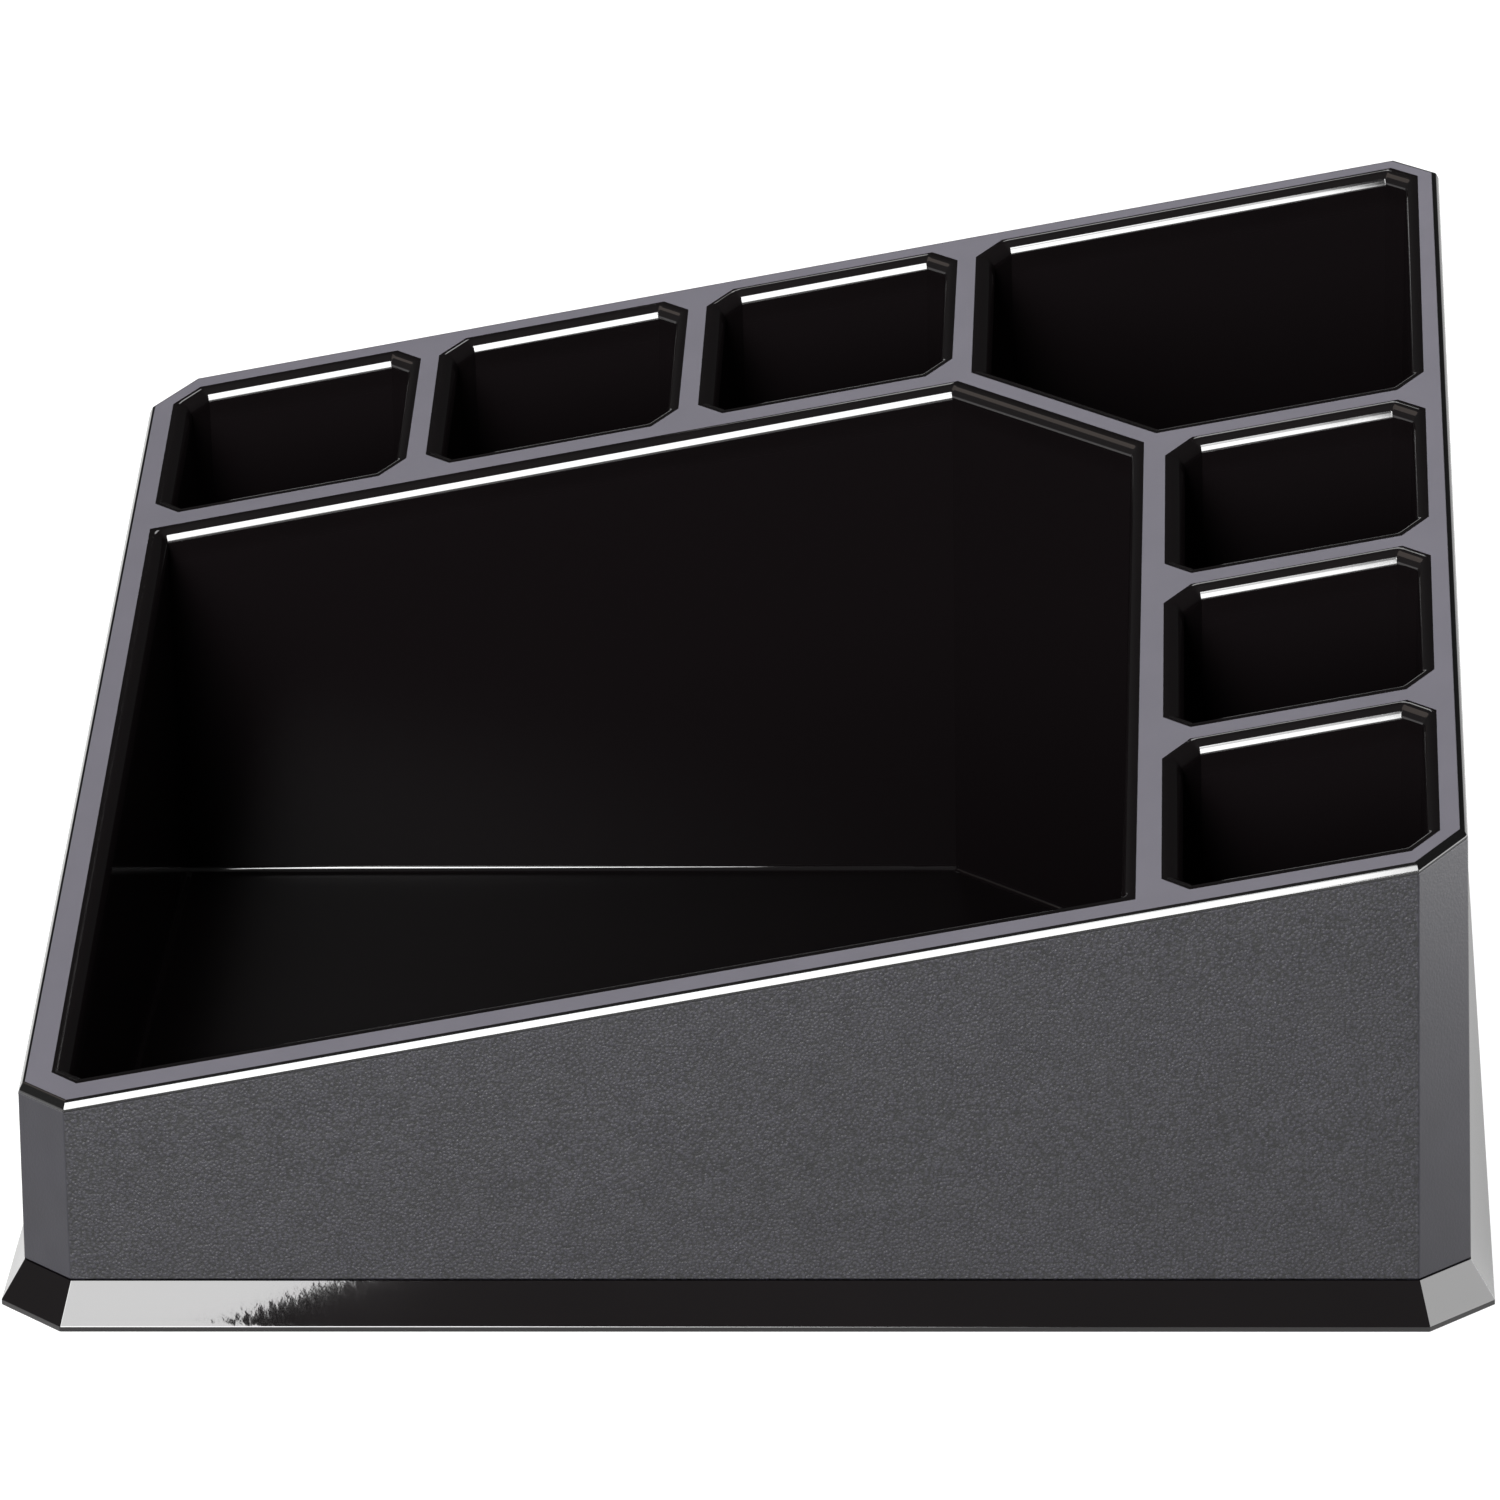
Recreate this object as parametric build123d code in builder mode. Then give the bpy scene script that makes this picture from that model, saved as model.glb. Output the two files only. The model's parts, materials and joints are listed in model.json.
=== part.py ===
from build123d import *
import os
from math import radians, sqrt, tan

# Desk organizer with one large bin, one corner bin and six pen cups.
# Each compartment is a separate moulded liner that hangs in a sloping deck. The deck caps a drafted
# outer sleeve, the sleeve stands on a flared plinth, and a base plate closes the bottom.
#
# Units are millimetres and degrees. +Z is up, +X is to the right and +Y is to the back. The origin
# is on the table, at the middle of the footprint.

# ---- Driving dimensions -------------------------------------------------------------------------

FOOT_PROUD = 0.5            # how far the rubber feet stand below the plinth

WALL_SIDE = 230.0           # outside of the sleeve where it meets the plinth
WALL_CORNER = 8.3           # leg of the cut on each of the sleeve's upright corners
WALL_DRAFT = 0.7            # the sleeve leans in as it rises
WALL_T = 2.0
WALL_EDGE_R = 0.6           # rounding of the sleeve's upright edges
SEAM_CHAMFER = 0.4          # shadow line where the sleeve meets the plinth

DECK_HEIGHT = 79.2          # top of the deck over the middle of the footprint
DECK_RISE = 0.1866          # rise per millimetre to the right, and the same to the back
DECK_RIM_T = 1.7            # edge of the deck that lies on top of the sleeve
DECK_T = 2.6
RIM_BEVEL_IN = 0.75         # bevel round the deck's outer edge
RIM_BEVEL_DOWN = 1.35
RIM_TOP_R = 0.9             # roundings above and below the bevel
RIM_LOW_R = 0.8
SPIGOT_GAP = 0.1            # between the deck's lower layer and the inside of the sleeve

PLINTH_FLARE = 3.8          # how far the plinth's foot stands out from the sleeve
PLINTH_TOP = 7.6
PLINTH_LAND = 0.8           # upright band at the plinth's foot
PLINTH_WALL = 2.4
PLINTH_EDGE_R = 0.4
LEDGE_HALF = 109.1          # inner edge of the ledge that the sleeve stands on
LEDGE_CORNER = 3.0

BASE_BOTTOM = 3.0
BASE_TOP = 5.6              # the liners stand on this plate
BASE_GAP = 0.15

OPENING_HALF = 109.8        # outer edge of the openings, from the middle
BAND = 3.3                  # deck between one cup and the next
MAIN_EDGE = 62.4            # back and right edges of the main bin
CUP_EDGE = 66.3             # front edge of the rear cups, and left edge of the side cups
CORNER_EDGE = 32.7          # front and left edges of the corner bin
CUP_CUT = 4.5               # leg of the cut on the corners of the cups
MAIN_CUT = 4.7
DIAGONAL_CUT = 32.0         # leg of the slanted side between the main bin and the corner bin

POCKET_DRAFT = 0.75         # the liners narrow towards their floors
FLOOR_TOP = 7.6
LIP_R = 2.5                 # rounding between the deck and a liner's walls
LIP_LOW = 3.35              # lip's width along its front and left, where the rounding turns further
LIP_HIGH = 2.2              # lip's width along its back and right
LINER_WALL = 2.0
COLLAR_DEPTH = 5.0
SHOULDER_OUT = 0.8          # flange that stops a liner under the deck
SHOULDER_T = 1.4
FLOOR_R = 1.0

BOSS_R = 2.4
BOSS_HEIGHT = 10.0
BOSS_ALONG = 70.0           # from the middle of a side to each of its two screws
BOSS_OUT = 111.3            # from the middle of the footprint to a screw, across a side
SCREW_R = 1.45
SCREW_CLEARANCE_R = 1.7
SCREW_LENGTH = 9.5
SCREW_HEAD_R = 2.8
SCREW_HEAD_T = 1.6
SCREW_TIP = 1.6
CROSS_WIDTH = 0.7
CROSS_LENGTH = 3.2
CROSS_DEPTH = 0.9
COUNTERBORE_R = 3.2
COUNTERBORE_DEPTH = 1.8

FOOT_R = 6.0
FOOT_EDGE_R = 0.8
FOOT_OUT = 96.0
FOOT_RECESS = 0.6
FOOT_RECESS_GAP = 0.2

# ---- Derived values -----------------------------------------------------------------------------

REACH = 140.0               # taller than the object, for solids that are then cut to the deck
WALL_HALF = WALL_SIDE / 2
UP = (0, 0, 1)
DECK_NORMAL = (-DECK_RISE, -DECK_RISE, 1)
DECK_ALONG = (1, 0, DECK_RISE)
DECK_AXIS = Axis((0, 0, 0), DECK_NORMAL)
UPRIGHT = 0.1               # a face whose normal rises less than this is a wall
LEVEL = 0.9                 # and one whose normal rises more than this is a top
CUP_PITCH = (CORNER_EDGE + OPENING_HALF) / 3
CUP_LENGTH = CUP_PITCH - BAND
# A corner cut's leg shortens by this much for each millimetre that its outline is inset.
CUT_LOSS = 2 - sqrt(2)


def deck_z(x, y):
    """Height of the deck's top over a point of the plan."""
    return DECK_HEIGHT + DECK_RISE * (x + y)


def deck_plane(drop):
    """Plane of the deck's top, lowered by drop."""
    return Plane(origin=(0, 0, DECK_HEIGHT - drop), x_dir=DECK_ALONG, z_dir=DECK_NORMAL)


def cut_box(low, high, cuts):
    """Corner points of a box in plan. cuts are the legs at front left, front right, back right, back left."""
    (x0, y0), (x1, y1) = low, high
    fl, fr, br, bl = cuts
    ring = [
        (x0 + fl, y0), (x1 - fr, y0), (x1, y0 + fr), (x1, y1 - br),
        (x1 - br, y1), (x0 + bl, y1), (x0, y1 - bl), (x0, y0 + fl),
    ]
    return [point for point, last in zip(ring, ring[-1:] + ring) if point != last]


def inset_box(low, high, cuts, low_inset, high_inset):
    """The same outline with its front and left sides moved in by low_inset, and the others by high_inset."""
    (x0, y0), (x1, y1) = low, high
    middle = (low_inset + high_inset) / 2
    corner_insets = (low_inset, middle, high_inset, middle)
    legs = [leg - CUT_LOSS * inset if leg else 0 for leg, inset in zip(cuts, corner_insets)]
    return cut_box((x0 + low_inset, y0 + low_inset), (x1 - high_inset, y1 - high_inset), legs)


def square(half, corner):
    """Corner points of a centred square with cut corners."""
    return cut_box((-half, -half), (half, half), [corner] * 4)


def wall_points(inset):
    """Outline of the sleeve where it meets the plinth, with every side moved in by inset."""
    return square(WALL_HALF - inset, WALL_CORNER - CUT_LOSS * inset)


def drafted(points, bottom, taper, drop, low_drop=None):
    """Tapered prism on an outline at height bottom, cut off at drop below the deck.

    With low_drop it is also cut off from below, at that much below the deck.
    """
    with BuildPart() as prism:
        with BuildSketch(Plane.XY.offset(bottom)):
            Polygon(*points, align=None)
        extrude(amount=REACH, taper=taper)
        split(bisect_by=deck_plane(drop), keep=Keep.BOTTOM)
        if low_drop is not None:
            split(bisect_by=deck_plane(low_drop), keep=Keep.TOP)
    return prism.part


class Pocket:
    """One compartment: its opening in plan, and the height where its draft is measured from."""

    def __init__(self, low, high, cuts):
        self.low = low
        self.high = high
        self.cuts = cuts
        self.reference = deck_z((low[0] + high[0]) / 2, (low[1] + high[1]) / 2)

    def prism(self, insets, bottom, drop, low_drop=None):
        """Drafted prism of the opening. insets are those of its front and left, and its back and right."""
        narrowing = (self.reference - bottom) * tan(radians(POCKET_DRAFT))
        moved = [inset + narrowing for inset in insets]
        points = inset_box(self.low, self.high, self.cuts, *moved)
        return drafted(points, bottom, -POCKET_DRAFT, drop, low_drop)


def rear_pocket(index):
    """One of the three rear cups, counted from the left."""
    start = -OPENING_HALF + index * CUP_PITCH
    return Pocket((start, CUP_EDGE), (start + CUP_LENGTH, OPENING_HALF), [CUP_CUT] * 4)


def side_pocket(index):
    """One of the three side cups, counted from the front."""
    start = -OPENING_HALF + index * CUP_PITCH
    return Pocket((CUP_EDGE, start), (OPENING_HALF, start + CUP_LENGTH), [CUP_CUT] * 4)


POCKETS = {
    "main_bin": Pocket(
        (-OPENING_HALF, -OPENING_HALF), (MAIN_EDGE, MAIN_EDGE), [MAIN_CUT, 0, DIAGONAL_CUT, 0]
    ),
    "corner_bin": Pocket(
        (CORNER_EDGE, CORNER_EDGE), (OPENING_HALF, OPENING_HALF), [DIAGONAL_CUT] + [CUP_CUT] * 3
    ),
    "rear_cup_left": rear_pocket(0),
    "rear_cup_middle": rear_pocket(1),
    "rear_cup_right": rear_pocket(2),
    "side_cup_front": side_pocket(0),
    "side_cup_middle": side_pocket(1),
    "side_cup_back": side_pocket(2),
}

SCREW_PLACES = [(x, y) for x in (-BOSS_ALONG, BOSS_ALONG) for y in (-BOSS_OUT, BOSS_OUT)]
SCREW_PLACES += [(x, y) for x in (-BOSS_OUT, BOSS_OUT) for y in (-BOSS_ALONG, BOSS_ALONG)]


def save(part, name):
    """Labels a finished piece and writes it."""
    part.label = name
    export_step(part, f"parts/{name}.step")


os.makedirs("parts", exist_ok=True)

# ---- Deck: matte plate with eight openings and a bevelled outer edge ----------------------------

deck_blank = drafted(wall_points(0), PLINTH_TOP, WALL_DRAFT, 0)
deck_spigot = drafted(wall_points(WALL_T + SPIGOT_GAP), PLINTH_TOP, WALL_DRAFT, DECK_RIM_T, DECK_T)
openings = [pocket.prism((0, 0), BASE_TOP, -DECK_T) for pocket in POCKETS.values()]

with BuildPart() as deck:
    add(deck_blank)
    blank_top = deck.faces().sort_by(DECK_AXIS)[-1]
    chamfer(blank_top.edges(), length=RIM_BEVEL_IN, length2=RIM_BEVEL_DOWN, reference=blank_top)
    walls = deck.faces().filter_by(lambda face: abs(face.normal_at().Z) < UPRIGHT)
    bevels = deck.faces().filter_by(lambda face: UPRIGHT < face.normal_at().Z < LEVEL)
    fillet(walls.edges() & bevels.edges(), radius=RIM_LOW_R)
    fillet(deck.faces().sort_by(DECK_AXIS)[-1].edges(), radius=RIM_TOP_R)
    split(bisect_by=deck_plane(DECK_RIM_T), keep=Keep.TOP)
    add(deck_spigot)
    add(openings, mode=Mode.SUBTRACT)
save(deck.part, "deck")

# ---- Sleeve: drafted wall ring with screw bosses at its foot ------------------------------------

sleeve_outside = drafted(wall_points(0), PLINTH_TOP, WALL_DRAFT, DECK_RIM_T)
sleeve_inside = drafted(wall_points(WALL_T), PLINTH_TOP, WALL_DRAFT, -DECK_T)

with BuildPart() as outer_sleeve:
    add(sleeve_outside)
    ends = outer_sleeve.faces().filter_by(lambda face: abs(face.normal_at().Z) > UPRIGHT)
    fillet(outer_sleeve.edges() - ends.edges(), radius=WALL_EDGE_R)
    foot = outer_sleeve.faces().sort_by(Axis.Z)[0]
    chamfer(foot.outer_wire().edges(), length=SEAM_CHAMFER)
    add(sleeve_inside, mode=Mode.SUBTRACT)
    with BuildSketch(Plane.XY.offset(PLINTH_TOP)):
        with Locations(*SCREW_PLACES):
            Circle(BOSS_R)
    extrude(amount=BOSS_HEIGHT)
    with BuildSketch(Plane.XY.offset(PLINTH_TOP)):
        with Locations(*SCREW_PLACES):
            Circle(SCREW_R)
    extrude(amount=SCREW_LENGTH, mode=Mode.SUBTRACT)
save(outer_sleeve.part, "outer_sleeve")

# ---- Plinth: flared skirt with the ledge that the sleeve stands on ------------------------------

flare_height = PLINTH_TOP - FOOT_PROUD - PLINTH_LAND
flare_angle = Vector(0, flare_height).get_angle(Vector(PLINTH_FLARE, flare_height))
skirt_inset = PLINTH_WALL - PLINTH_FLARE
ledge_inset = PLINTH_WALL - PLINTH_FLARE * (PLINTH_TOP - BASE_TOP) / flare_height
skirt_height = BASE_TOP - FOOT_PROUD
skirt_angle = Vector(0, skirt_height).get_angle(Vector(ledge_inset - skirt_inset, skirt_height))

with BuildPart() as plinth:
    with BuildSketch(Plane.XY.offset(FOOT_PROUD)):
        Polygon(*wall_points(-PLINTH_FLARE), align=None)
    extrude(amount=PLINTH_LAND)
    with BuildSketch(Plane.XY.offset(FOOT_PROUD + PLINTH_LAND)):
        Polygon(*wall_points(-PLINTH_FLARE), align=None)
    extrude(amount=flare_height, taper=flare_angle)
    ends = plinth.faces().filter_by(Plane.XY)
    fillet(plinth.edges() - ends.edges(), radius=PLINTH_EDGE_R)
    with BuildSketch(Plane.XY.offset(FOOT_PROUD)):
        Polygon(*wall_points(skirt_inset), align=None)
    extrude(amount=skirt_height, taper=skirt_angle, mode=Mode.SUBTRACT)
    with BuildSketch(Plane.XY.offset(BASE_TOP)):
        Polygon(*square(LEDGE_HALF, LEDGE_CORNER), align=None)
        with Locations(*SCREW_PLACES):
            Circle(SCREW_CLEARANCE_R)
    extrude(amount=PLINTH_TOP - BASE_TOP, mode=Mode.SUBTRACT)
save(plinth.part, "plinth")

# ---- Base plate: closes the bottom, with recesses for the screws' heads and the feet ------------

FOOT_PLACES = [(x, y) for x in (-FOOT_OUT, FOOT_OUT) for y in (-FOOT_OUT, FOOT_OUT)]

with BuildPart() as base_plate:
    with BuildSketch(Plane.XY.offset(BASE_BOTTOM)):
        Polygon(*wall_points(ledge_inset + BASE_GAP), align=None)
        with Locations(*SCREW_PLACES):
            Circle(SCREW_CLEARANCE_R, mode=Mode.SUBTRACT)
    extrude(amount=BASE_TOP - BASE_BOTTOM)
    with BuildSketch(Plane.XY.offset(BASE_BOTTOM)):
        with Locations(*SCREW_PLACES):
            Circle(COUNTERBORE_R)
    extrude(amount=COUNTERBORE_DEPTH, mode=Mode.SUBTRACT)
    with BuildSketch(Plane.XY.offset(BASE_BOTTOM)):
        with Locations(*FOOT_PLACES):
            Circle(FOOT_R + FOOT_RECESS_GAP)
    extrude(amount=FOOT_RECESS, mode=Mode.SUBTRACT)
save(base_plate.part, "base_plate")

# ---- Liners: one drafted cup per compartment, with a rounded lip flush with the deck ------------


def make_liner(pocket):
    """A cup with a rounded lip, a collar that fills the deck's opening and a shoulder under the deck."""
    body = pocket.prism((LIP_LOW - LINER_WALL, LIP_HIGH - LINER_WALL), BASE_TOP, DECK_T)
    collar = pocket.prism((0, 0), BASE_TOP, 0, COLLAR_DEPTH)
    shoulder = pocket.prism((-SHOULDER_OUT, -SHOULDER_OUT), BASE_TOP, DECK_T, DECK_T + SHOULDER_T)
    hollow = pocket.prism((LIP_LOW, LIP_HIGH), FLOOR_TOP, -DECK_T)
    with BuildPart() as liner:
        add([body, collar, shoulder])
        add(hollow, mode=Mode.SUBTRACT)
        floor_edges = liner.faces().filter_by(Plane.XY).sort_by(Axis.Z)[-1].edges()
        fillet(floor_edges, radius=FLOOR_R)
        lip_face = liner.faces().sort_by(DECK_AXIS)[-1]
        fillet(lip_face.inner_wires()[0].edges(), radius=LIP_R)
    return liner.part


for name, pocket in POCKETS.items():
    save(make_liner(pocket), name)

# ---- Rubber feet --------------------------------------------------------------------------------

foot_height = BASE_BOTTOM + FOOT_RECESS

for number, place in enumerate(FOOT_PLACES, start=1):
    with BuildPart() as rubber_foot:
        with BuildSketch(Plane.XY):
            with Locations(place):
                Circle(FOOT_R)
        extrude(amount=foot_height)
        fillet(rubber_foot.edges().group_by(Axis.Z)[0], radius=FOOT_EDGE_R)
    save(rubber_foot.part, f"foot_{number}")

# ---- Self-tapping screws, driven up through the base plate and the plinth's ledge ---------------

head_top = BASE_BOTTOM + COUNTERBORE_DEPTH
tip_top = head_top + SCREW_LENGTH

for number, (x, y) in enumerate(SCREW_PLACES, start=1):
    with BuildPart() as screw:
        with BuildSketch(Plane.XZ.offset(-y)):
            with BuildLine():
                Polyline(
                    (x, head_top - SCREW_HEAD_T),
                    (x + SCREW_HEAD_R, head_top - SCREW_HEAD_T),
                    (x + SCREW_HEAD_R, head_top),
                    (x + SCREW_R, head_top),
                    (x + SCREW_R, tip_top - SCREW_TIP),
                    (x, tip_top),
                    close=True,
                )
            make_face()
        revolve(axis=Axis((x, y, 0), UP))
        fillet(screw.edges().group_by(Axis.Z)[0], radius=SCREW_HEAD_T / 2)
        with BuildSketch(Plane.XY.offset(head_top - SCREW_HEAD_T)):
            with Locations((x, y)):
                Rectangle(CROSS_LENGTH, CROSS_WIDTH)
                Rectangle(CROSS_WIDTH, CROSS_LENGTH)
        extrude(amount=CROSS_DEPTH, mode=Mode.SUBTRACT)
    save(screw.part, f"screw_{number}")
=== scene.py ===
"""Looks for the desk organizer: materials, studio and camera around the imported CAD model."""
import json
from math import atan2, cos, degrees, pi, radians, sin, tan

import bpy
from mathutils import Matrix, Vector


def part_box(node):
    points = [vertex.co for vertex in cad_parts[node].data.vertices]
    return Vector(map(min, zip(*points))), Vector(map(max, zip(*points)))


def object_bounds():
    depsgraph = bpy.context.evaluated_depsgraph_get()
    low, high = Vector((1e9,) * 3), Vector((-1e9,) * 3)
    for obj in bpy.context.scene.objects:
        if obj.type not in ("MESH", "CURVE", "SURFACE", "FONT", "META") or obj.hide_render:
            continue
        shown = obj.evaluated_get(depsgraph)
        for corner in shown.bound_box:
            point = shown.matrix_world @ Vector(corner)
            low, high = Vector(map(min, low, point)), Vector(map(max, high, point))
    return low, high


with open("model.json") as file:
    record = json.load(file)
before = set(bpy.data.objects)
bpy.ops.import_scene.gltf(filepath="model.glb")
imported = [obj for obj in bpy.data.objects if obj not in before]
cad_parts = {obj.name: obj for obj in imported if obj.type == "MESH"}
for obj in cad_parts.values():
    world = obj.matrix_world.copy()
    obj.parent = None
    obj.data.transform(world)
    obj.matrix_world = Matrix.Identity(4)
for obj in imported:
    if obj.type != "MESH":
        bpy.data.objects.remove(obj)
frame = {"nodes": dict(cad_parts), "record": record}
cad_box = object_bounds()

MM = 0.001

# The object's own places, from the frame
CENTRE = (cad_box[0] + cad_box[1]) / 2
FLOOR_Z = cad_box[0].z

# The deck's top: its rise to the right and to the back, and its height over the middle of the footprint
DECK_RISE = 0.1866
DECK_NORMAL = Vector((-DECK_RISE, -DECK_RISE, 1.0)).normalized()
DECK_POINT = Vector((0, 0, 79.2 * MM))

# The liners' lips end and their dull insides begin this far below the deck
INSIDE_FROM = 3.0 * MM
INSIDE_FULLY = 6.0 * MM

# Specular level of a polished surface, of the liners' insides and of the deck's flat top
SPECULAR = 0.5
INSIDE_SPECULAR = 0.06
DECK_SPECULAR = 0.02

# Sizes in the leather grain of the walls, and how far its pebbles and creases stand up, in millimetres
PEBBLE = 0.48 * MM
CREASE = 0.28 * MM
PEBBLE_HEIGHT = 0.032
CREASE_HEIGHT = 0.034

# The rim's bevel rounds off towards the wall between these depths below the deck, in millimetres
RIM_TURN_FROM = 0.95
RIM_TURN_TO = 1.5
RIM_TURN_BEND = 1.2

# The plinth's face is hollow by this slope in degrees, steepest at this share of its height, and it
# curls back at its foot
PLINTH_HOLLOW_SLOPE = 1.5
PLINTH_HOLLOW_AT = 0.24
PLINTH_FOOT_CURL = 2.6

# Camera: distance, tilt below the horizon, turn to the left, roll, and how far its aim is off the middle
CAMERA_DISTANCE = 1.62387
CAMERA_TILT = radians(21.098)
CAMERA_TURN = radians(-3.101)
CAMERA_ROLL = radians(-1.278)
CAMERA_AIM_HEIGHT = 45.5 * MM
CAMERA_OFFSET_RIGHT = -3.337 * MM
CAMERA_OFFSET_UP = 7.040 * MM
CAMERA_LENS = 232.48
CAMERA_SENSOR = 36.0

# Lights: the key stands upright this far in front, with two smaller panels each a step nearer, so that
# all three show in a reflection. A low white card stands close to the right side.
KEY_DISTANCE = 2.5
KEY_STEP = 0.02
CARD_AWAY = 0.24
CARD_FORWARD = 0.02
CARD_HEIGHT = 0.115
CARD_LENGTH = 0.34
FILL_SIZE = 0.3


# ---------------------------------------------------------------- materials


class Look:
    """A material under construction: a principled shader and the nodes that feed it."""

    def __init__(self, name):
        self.material = bpy.data.materials.new(name)
        self.material.use_nodes = True
        self.tree = self.material.node_tree
        self.shader = self.tree.nodes["Principled BSDF"]
        self.place = self.add("ShaderNodeTexCoord").outputs["Object"]

    def add(self, kind, inputs=None, **settings):
        node = self.tree.nodes.new(kind)
        for key, value in settings.items():
            setattr(node, key, value)
        for key, value in (inputs or {}).items():
            self.feed(node.inputs[key], value)
        return node

    def feed(self, socket, value):
        if isinstance(value, bpy.types.NodeSocket):
            self.tree.links.new(value, socket)
        else:
            socket.default_value = value

    def set(self, **inputs):
        """Sets the shader's sockets: Base_Color sets Base Color."""
        for key, value in inputs.items():
            self.feed(self.shader.inputs[key.replace("_", " ")], value)

    def math(self, operation, a, b=0.0):
        return self.add("ShaderNodeMath", {0: a, 1: b}, operation=operation).outputs[0]

    def noise(self, size, detail=2.0, roughness=0.5):
        """Cloudy noise from 0 to 1 whose blobs are about size metres across."""
        inputs = {"Vector": self.place, "Scale": 1 / size, "Detail": detail, "Roughness": roughness}
        return self.add("ShaderNodeTexNoise", inputs).outputs["Fac"]

    def cells(self, size, smoothness=0.6):
        """Distance to the nearest cell's middle, for cells about size metres across."""
        inputs = {"Vector": self.place, "Scale": 1 / size, "Smoothness": smoothness}
        return self.add("ShaderNodeTexVoronoi", inputs, feature="SMOOTH_F1").outputs["Distance"]

    def ramp(self, value, low, high, to_low=0.0, to_high=1.0, smooth=False):
        """Maps value from low..high to to_low..to_high and holds it there outside."""
        inputs = {"Value": value, "From Min": low, "From Max": high, "To Min": to_low, "To Max": to_high}
        style = "SMOOTHSTEP" if smooth else "LINEAR"
        return self.add("ShaderNodeMapRange", inputs, interpolation_type=style).outputs["Result"]

    def mix(self, share, a, b):
        """Colour a where share is 0 and b where it is 1."""
        return self.add("ShaderNodeMix", {"Factor": share, 6: a, 7: b}, data_type="RGBA").outputs[2]

    def scaled(self, value, factor):
        return self.math("MULTIPLY", value, factor)

    def sum(self, *values):
        total = values[0]
        for value in values[1:]:
            total = self.math("ADD", total, value)
        return total

    def relief(self, height):
        """The shading normal of a surface that stands up by height, in millimetres."""
        inputs = {"Height": height, "Distance": MM, "Strength": 1.0}
        return self.add("ShaderNodeBump", inputs).outputs["Normal"]

    def dot(self, a, b):
        return self.add("ShaderNodeVectorMath", {0: a, 1: b}, operation="DOT_PRODUCT").outputs["Value"]

    def rise_above_deck(self):
        """Distance in metres from the deck's top, above it positive."""
        inputs = {0: self.place, 1: DECK_POINT}
        over = self.add("ShaderNodeVectorMath", inputs, operation="SUBTRACT").outputs[0]
        return self.dot(over, DECK_NORMAL)

    def facing(self, direction):
        """Cosine between the surface's own normal and a direction."""
        return self.dot(self.add("ShaderNodeNewGeometry").outputs["Normal"], direction)


def grey(value, blue=0.0):
    return (value, value, value + blue, 1.0)


def corner_cut(look):
    """1 on the cut corners, which face along a diagonal of the plan, and 0 on the four sides."""
    product = look.math("MULTIPLY", look.facing((1, 0, 0)), look.facing((0, 1, 0)))
    return look.ramp(look.math("ABSOLUTE", product), 0.2, 0.4, smooth=True)


def pebbles(look):
    """1 on the middles of the grain's pebbles and 0 between them."""
    return look.ramp(look.cells(PEBBLE), 0.1, 0.7, 1.0, 0.0)


def leather_grain(look):
    """Height, in millimetres, of the walls' fine leather grain, which is faint on the cut corners."""
    creases = look.noise(CREASE, detail=2, roughness=0.5)
    grain = look.sum(look.scaled(pebbles(look), PEBBLE_HEIGHT), look.scaled(creases, CREASE_HEIGHT))
    return look.math("MULTIPLY", grain, look.ramp(corner_cut(look), 0.0, 1.0, 1.0, 0.25))


def wall_colour_and_painted_sheen(look):
    """Near-black plastic, paler in patches, with a painted sheen: the raised middles of the grain's
    pebbles are painted paler, as if light caught them.
    """
    patches = look.ramp(look.noise(11 * MM, detail=3), 0.3, 0.7, 0.8, 1.1)
    # Painted sheen: the share rises on the pebbles' raised middles; on the cut corners an even share
    # takes its place.
    share = look.math("MULTIPLY", patches, look.ramp(corner_cut(look), 0.0, 1.0, pebbles(look), 0.75))
    return look.mix(share, (0.0002, 0.0002, 0.0006, 1), (0.0115, 0.0109, 0.0160, 1))


def make_deck_matte():
    """Matte on its flat top, polished on the bevel round its edge and grained below that."""
    look = Look("deck_matte")
    flat = look.ramp(look.facing(DECK_NORMAL), 0.985, 0.998, smooth=True)
    below = look.ramp(look.facing((0, 0, 1)), 0.12, 0.40, 1.0, 0.0, smooth=True)
    sand = look.noise(0.22 * MM, detail=3)
    clouds = look.noise(14 * MM, detail=3)
    pale = look.mix(clouds, (0.091, 0.088, 0.102, 1), (0.107, 0.103, 0.120, 1))
    base = look.mix(flat, grey(0.003), pale)
    base = look.mix(below, base, wall_colour_and_painted_sheen(look))
    rough = look.ramp(flat, 0.0, 1.0, 0.07, look.ramp(sand, 0.3, 0.7, 0.50, 0.62))
    rough = look.math("MAXIMUM", rough, look.scaled(below, 0.36))
    drop = look.scaled(look.rise_above_deck(), -1 / MM)
    turn = look.ramp(drop, RIM_TURN_FROM, RIM_TURN_TO, 0.0, RIM_TURN_TO - RIM_TURN_FROM)
    height = look.sum(
        look.scaled(look.math("MULTIPLY", turn, turn), -RIM_TURN_BEND),
        look.math("MULTIPLY", look.scaled(sand, 0.012), flat),
        look.math("MULTIPLY", leather_grain(look), below),
    )
    look.set(Base_Color=base, Roughness=rough, IOR=1.5, Normal=look.relief(height))
    look.set(Specular_IOR_Level=look.ramp(flat, 0.0, 1.0, SPECULAR, DECK_SPECULAR))
    return look.material


def make_sleeve_grain():
    look = Look("sleeve_grain")
    rough = look.ramp(look.noise(5 * MM, detail=3), 0.3, 0.7, 0.34, 0.42)
    look.set(Base_Color=wall_colour_and_painted_sheen(look), Roughness=rough, IOR=1.42)
    look.set(Normal=look.relief(leather_grain(look)))
    return look.material


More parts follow.
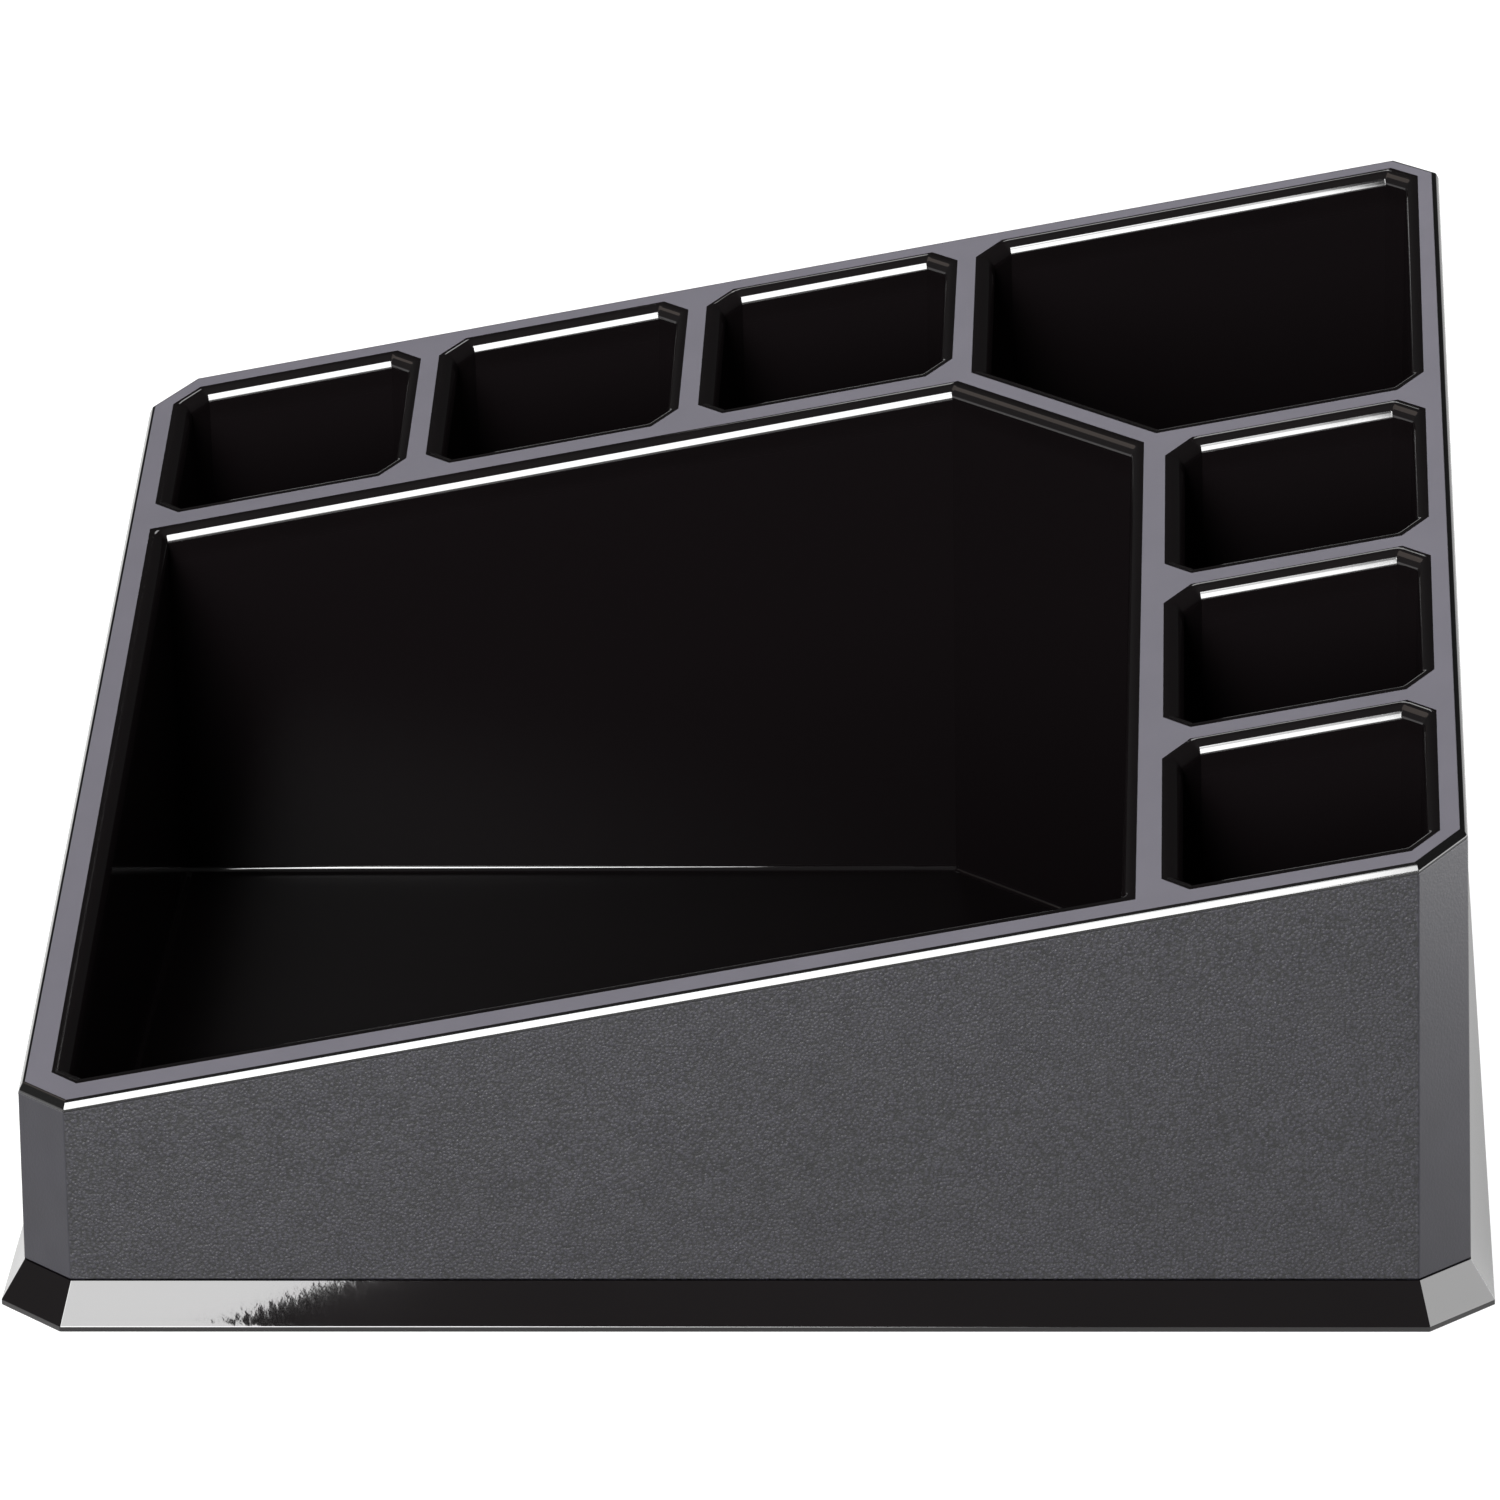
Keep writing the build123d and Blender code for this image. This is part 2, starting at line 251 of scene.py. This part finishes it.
def polished(look):
    """Colour and roughness of polished black plastic, with faint swirls and specks of dust."""
    swirl = look.noise(26 * MM, detail=2)
    dust = look.ramp(look.noise(0.6 * MM, detail=4), 0.62, 0.80, smooth=True)
    base = look.mix(swirl, (0.0019, 0.0015, 0.0016, 1), (0.0028, 0.0021, 0.0023, 1))
    rough = look.sum(look.ramp(swirl, 0.3, 0.7, 0.04, 0.07), look.scaled(dust, 0.05))
    return base, rough


def make_gloss_black():
    """The liners: polished lips and floor corners, and dull, light-swallowing walls and floors."""
    look = Look("gloss_black")
    base, rough = polished(look)
    depth = look.ramp(look.rise_above_deck(), -INSIDE_FROM, -INSIDE_FULLY, smooth=True)
    upward = look.facing((0, 0, 1))
    level = look.ramp(upward, 0.97, 0.999, smooth=True)
    upright = look.ramp(upward, 0.04, 0.12, 1.0, 0.0, smooth=True)
    dull = look.math("MULTIPLY", depth, look.math("MAXIMUM", level, upright))
    satin = look.ramp(look.noise(3 * MM, detail=3), 0.3, 0.7, 0.08, 0.11)
    rough = look.math("MAXIMUM", rough, look.math("MULTIPLY", satin, dull))
    rough = look.math("MAXIMUM", rough, look.scaled(level, 0.30))
    base = look.mix(depth, base, (0.0026, 0.0020, 0.0022, 1))
    waves = look.scaled(look.noise(12 * MM, detail=1), 0.02)
    look.set(Base_Color=base, Roughness=rough, IOR=1.5, Normal=look.relief(waves))
    look.set(Specular_IOR_Level=look.ramp(dull, 0.0, 1.0, SPECULAR, INSIDE_SPECULAR))
    return look.material


def make_plinth_gloss():
    """The plinth: polished, slightly hollow between its top and its foot, and faintly rippled."""
    look = Look("plinth_gloss")
    base, rough = polished(look)
    low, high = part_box("plinth")
    level = look.add("ShaderNodeSeparateXYZ", {0: look.place}).outputs["Z"]
    offset = look.ramp(level, low.z, high.z, -PLINTH_HOLLOW_AT, 1 - PLINTH_HOLLOW_AT)
    rise = look.math("POWER", look.math("MAXIMUM", offset), 2.0)
    curl = look.math("POWER", look.math("MAXIMUM", look.scaled(offset, -1.0)), 3.0)
    curve = look.sum(
        look.scaled(offset, -1.0),
        look.scaled(rise, 1 / (1 - PLINTH_HOLLOW_AT)),
        look.scaled(curl, -PLINTH_FOOT_CURL / (3 * PLINTH_HOLLOW_AT**2)),
    )
    hollow = look.scaled(curve, (high.z - low.z) / MM * radians(PLINTH_HOLLOW_SLOPE))
    ripples = look.scaled(look.noise(1.3 * MM, detail=2), 0.0026)
    waves = look.scaled(look.noise(16 * MM, detail=1), 0.006)
    rough = look.scaled(rough, 0.6)
    height = look.sum(hollow, ripples, waves)
    look.set(Base_Color=base, Roughness=rough, IOR=1.5, Normal=look.relief(height))
    return look.material


def make_base_matte():
    look = Look("base_matte")
    patches = look.noise(9 * MM, detail=3)
    base = look.mix(patches, grey(0.018), grey(0.028))
    rough = look.ramp(patches, 0.3, 0.7, 0.5, 0.62)
    look.set(Base_Color=base, Roughness=rough, IOR=1.5, Normal=look.relief(leather_grain(look)))
    return look.material


def make_foot_rubber():
    look = Look("foot_rubber")
    grains = look.noise(0.3 * MM, detail=3)
    scuffs = look.noise(3 * MM, detail=4)
    base = look.mix(scuffs, grey(0.014), grey(0.034))
    rough = look.ramp(scuffs, 0.3, 0.7, 0.75, 0.9)
    look.set(Base_Color=base, Roughness=rough, IOR=1.5, Normal=look.relief(look.scaled(grains, 0.02)))
    return look.material


def make_screw_steel():
    look = Look("screw_steel")
    plating = look.noise(1.2 * MM, detail=4)
    base = look.mix(plating, (0.46, 0.46, 0.48, 1), (0.62, 0.62, 0.64, 1))
    rough = look.ramp(plating, 0.3, 0.7, 0.24, 0.38)
    look.set(Base_Color=base, Metallic=1.0, Roughness=rough)
    look.set(Normal=look.relief(look.scaled(plating, 0.01)))
    return look.material


def make_floor():
    look = Look("studio_floor")
    look.set(Base_Color=grey(0.30), Roughness=0.9, IOR=1.3)
    look.set(Emission_Color=grey(1.0), Emission_Strength=0.88)
    return look.material


MAKERS = {
    "deck_matte": make_deck_matte,
    "sleeve_grain": make_sleeve_grain,
    "gloss_black": make_gloss_black,
    "base_matte": make_base_matte,
    "foot_rubber": make_foot_rubber,
    "screw_steel": make_screw_steel,
}


def dress_nodes():
    """Gives each CAD node the material of its slot in the record, and the plinth its own."""
    finishes = {slot: make() for slot, make in MAKERS.items()}
    special = {"plinth": make_plinth_gloss()}
    for subpart in frame["record"]["subparts"]:
        node = subpart["node"]
        mesh = frame["nodes"][node].data
        mesh.materials.clear()
        mesh.materials.append(special.get(node) or finishes[subpart["material_slot"]])


# ---------------------------------------------------------------- studio


def link(name, data):
    thing = bpy.data.objects.new(name, data)
    bpy.context.scene.collection.objects.link(thing)
    return thing


def make_studio_floor(radius=6.0, sides=96):
    angles = [2 * pi * i / sides for i in range(sides)]
    rim = [(radius * cos(angle), radius * sin(angle), FLOOR_Z) for angle in angles]
    mesh = bpy.data.meshes.new("studio_floor")
    mesh.from_pydata(rim, [], [list(range(sides))])
    mesh.materials.append(make_floor())
    floor = link("studio_floor", mesh)


def light_panel(name, place, away, width, height, radiance, roll=0.0):
    """A rectangular light at place. away points from the lit side through the panel to its back."""
    data = bpy.data.lights.new(name, "AREA")
    data.shape = "RECTANGLE"
    data.size, data.size_y = width, height
    data.energy = radiance * pi * width * height
    lamp = link(name, data)
    facing = away.to_track_quat("Z", "Y").to_matrix().to_4x4()
    lamp.matrix_world = Matrix.Translation(place) @ facing @ Matrix.Rotation(radians(roll), 4, "Z")
    lamp.visible_camera = False
    return lamp


def softbox(name, azimuths, elevations, radiance, distance=2.6):
    """A far panel that the object's middle sees between two azimuths and two heights above the horizon,
    in degrees. Azimuth 0 is in front and 90 is at the right."""
    turn, lift = radians(sum(azimuths) / 2), radians(sum(elevations) / 2)
    away = Vector((sin(turn) * cos(lift), -cos(turn) * cos(lift), sin(lift)))
    width = 2 * distance * tan(radians(azimuths[1] - azimuths[0]) / 2) * cos(lift)
    height = 2 * distance * tan(radians(elevations[1] - elevations[0]) / 2)
    return light_panel(name, CENTRE + distance * away, away, width, height, radiance)


def front_panel(name, edge_top, edge_foot, top, foot, width, radiance, distance=KEY_DISTANCE):
    """An upright panel in front of the object. Its right edge runs from edge_foot at height foot
    to edge_top at height top, and it reaches width to the left of that edge."""
    lean = atan2(edge_foot - edge_top, top - foot)
    edge = Vector(((edge_top + edge_foot) / 2, -distance, (top + foot) / 2))
    place = edge - width / 2 * Vector((cos(lean), 0, sin(lean)))
    tall = (top - foot) / cos(lean)
    light_panel(name, place, Vector((0, -1, 0)), width, tall, radiance, roll=degrees(lean))


def make_lights():
    near = KEY_DISTANCE - KEY_STEP
    nearest = near - KEY_STEP
    front_panel("key", edge_top=-0.604, edge_foot=0.013, top=2.9, foot=0.12, width=1.2, radiance=15)
    front_panel("key_core", -0.60, -0.50, top=2.7, foot=0.2, width=0.8, radiance=13, distance=near)
    front_panel("key_foot", -0.29, -0.02, top=1.6, foot=0.2, width=0.45, radiance=13, distance=nearest)
    softbox("back", (-168, -158), (46, 54), radiance=4)
    softbox("left_warm", (-125, -70), (34, 62), radiance=0.8).data.color = (1.0, 0.84, 0.74)
    over_back_corner = Vector((cad_box[1].x, cad_box[1].y, 4 * cad_box[1].z))
    fill = light_panel("deck_fill", over_back_corner, Vector((0.2, 0.2, 1.0)), FILL_SIZE, FILL_SIZE, 4)
    fill.visible_glossy = False
    card = Vector((cad_box[1].x + CARD_AWAY, CENTRE.y - CARD_FORWARD, FLOOR_Z + CARD_HEIGHT / 2))
    light_panel("right_card", card, Vector((1, 0, 0)), CARD_LENGTH, CARD_HEIGHT, 7.5)


def make_world(front=0.18, behind=0.045, horizon=1.05, fade=0.035):
    """A dim room, darker behind the object, with a thin bright band along the horizon."""
    world = bpy.data.worlds.new("studio")
    world.use_nodes = True
    bpy.context.scene.world = world
    tree = world.node_tree
    sky = tree.nodes["Background"]
    direction = tree.nodes.new("ShaderNodeTexCoord").outputs["Generated"]
    parts = tree.nodes.new("ShaderNodeSeparateXYZ")
    tree.links.new(direction, parts.inputs[0])
    toward = tree.nodes.new("ShaderNodeVectorMath")
    toward.operation = "DOT_PRODUCT"
    toward.inputs[1].default_value = Vector((-0.6, -0.8, 0.0))
    tree.links.new(direction, toward.inputs[0])

    def shade(value, spread, at_low, at_high):
        node = tree.nodes.new("ShaderNodeMapRange")
        node.interpolation_type = "SMOOTHSTEP"
        tree.links.new(value, node.inputs["Value"])
        node.inputs["From Min"].default_value, node.inputs["From Max"].default_value = spread
        for socket, level in (("To Min", at_low), ("To Max", at_high)):
            if isinstance(level, float):
                node.inputs[socket].default_value = level
            else:
                tree.links.new(level, node.inputs[socket])
        return node.outputs["Result"]

    room = shade(toward.outputs["Value"], (-0.5, 0.3), behind, front)
    tree.links.new(shade(parts.outputs["Z"], (0.0, fade), horizon, room), sky.inputs["Strength"])
    sky.inputs["Color"].default_value = grey(1.0)


def make_camera():
    tilt, turn, roll = CAMERA_TILT, CAMERA_TURN, CAMERA_ROLL
    ahead = Vector((sin(turn) * cos(tilt), cos(turn) * cos(tilt), -sin(tilt)))
    level = Vector((cos(turn), -sin(turn), 0))
    above = level.cross(ahead)
    right = cos(roll) * level + sin(roll) * above
    up = -sin(roll) * level + cos(roll) * above
    aim = Vector((0, 0, CAMERA_AIM_HEIGHT))
    place = aim + CAMERA_OFFSET_RIGHT * right + CAMERA_OFFSET_UP * up - CAMERA_DISTANCE * ahead
    data = bpy.data.cameras.new("camera")
    data.lens = CAMERA_LENS
    data.sensor_width = CAMERA_SENSOR
    camera = link("camera", data)
    camera.matrix_world = Matrix.Translation(place) @ Matrix((right, up, -ahead)).transposed().to_4x4()
    bpy.context.scene.camera = camera


dress_nodes()
make_studio_floor()
make_lights()
make_world()
make_camera()
bpy.context.scene.view_settings.view_transform = "Standard"
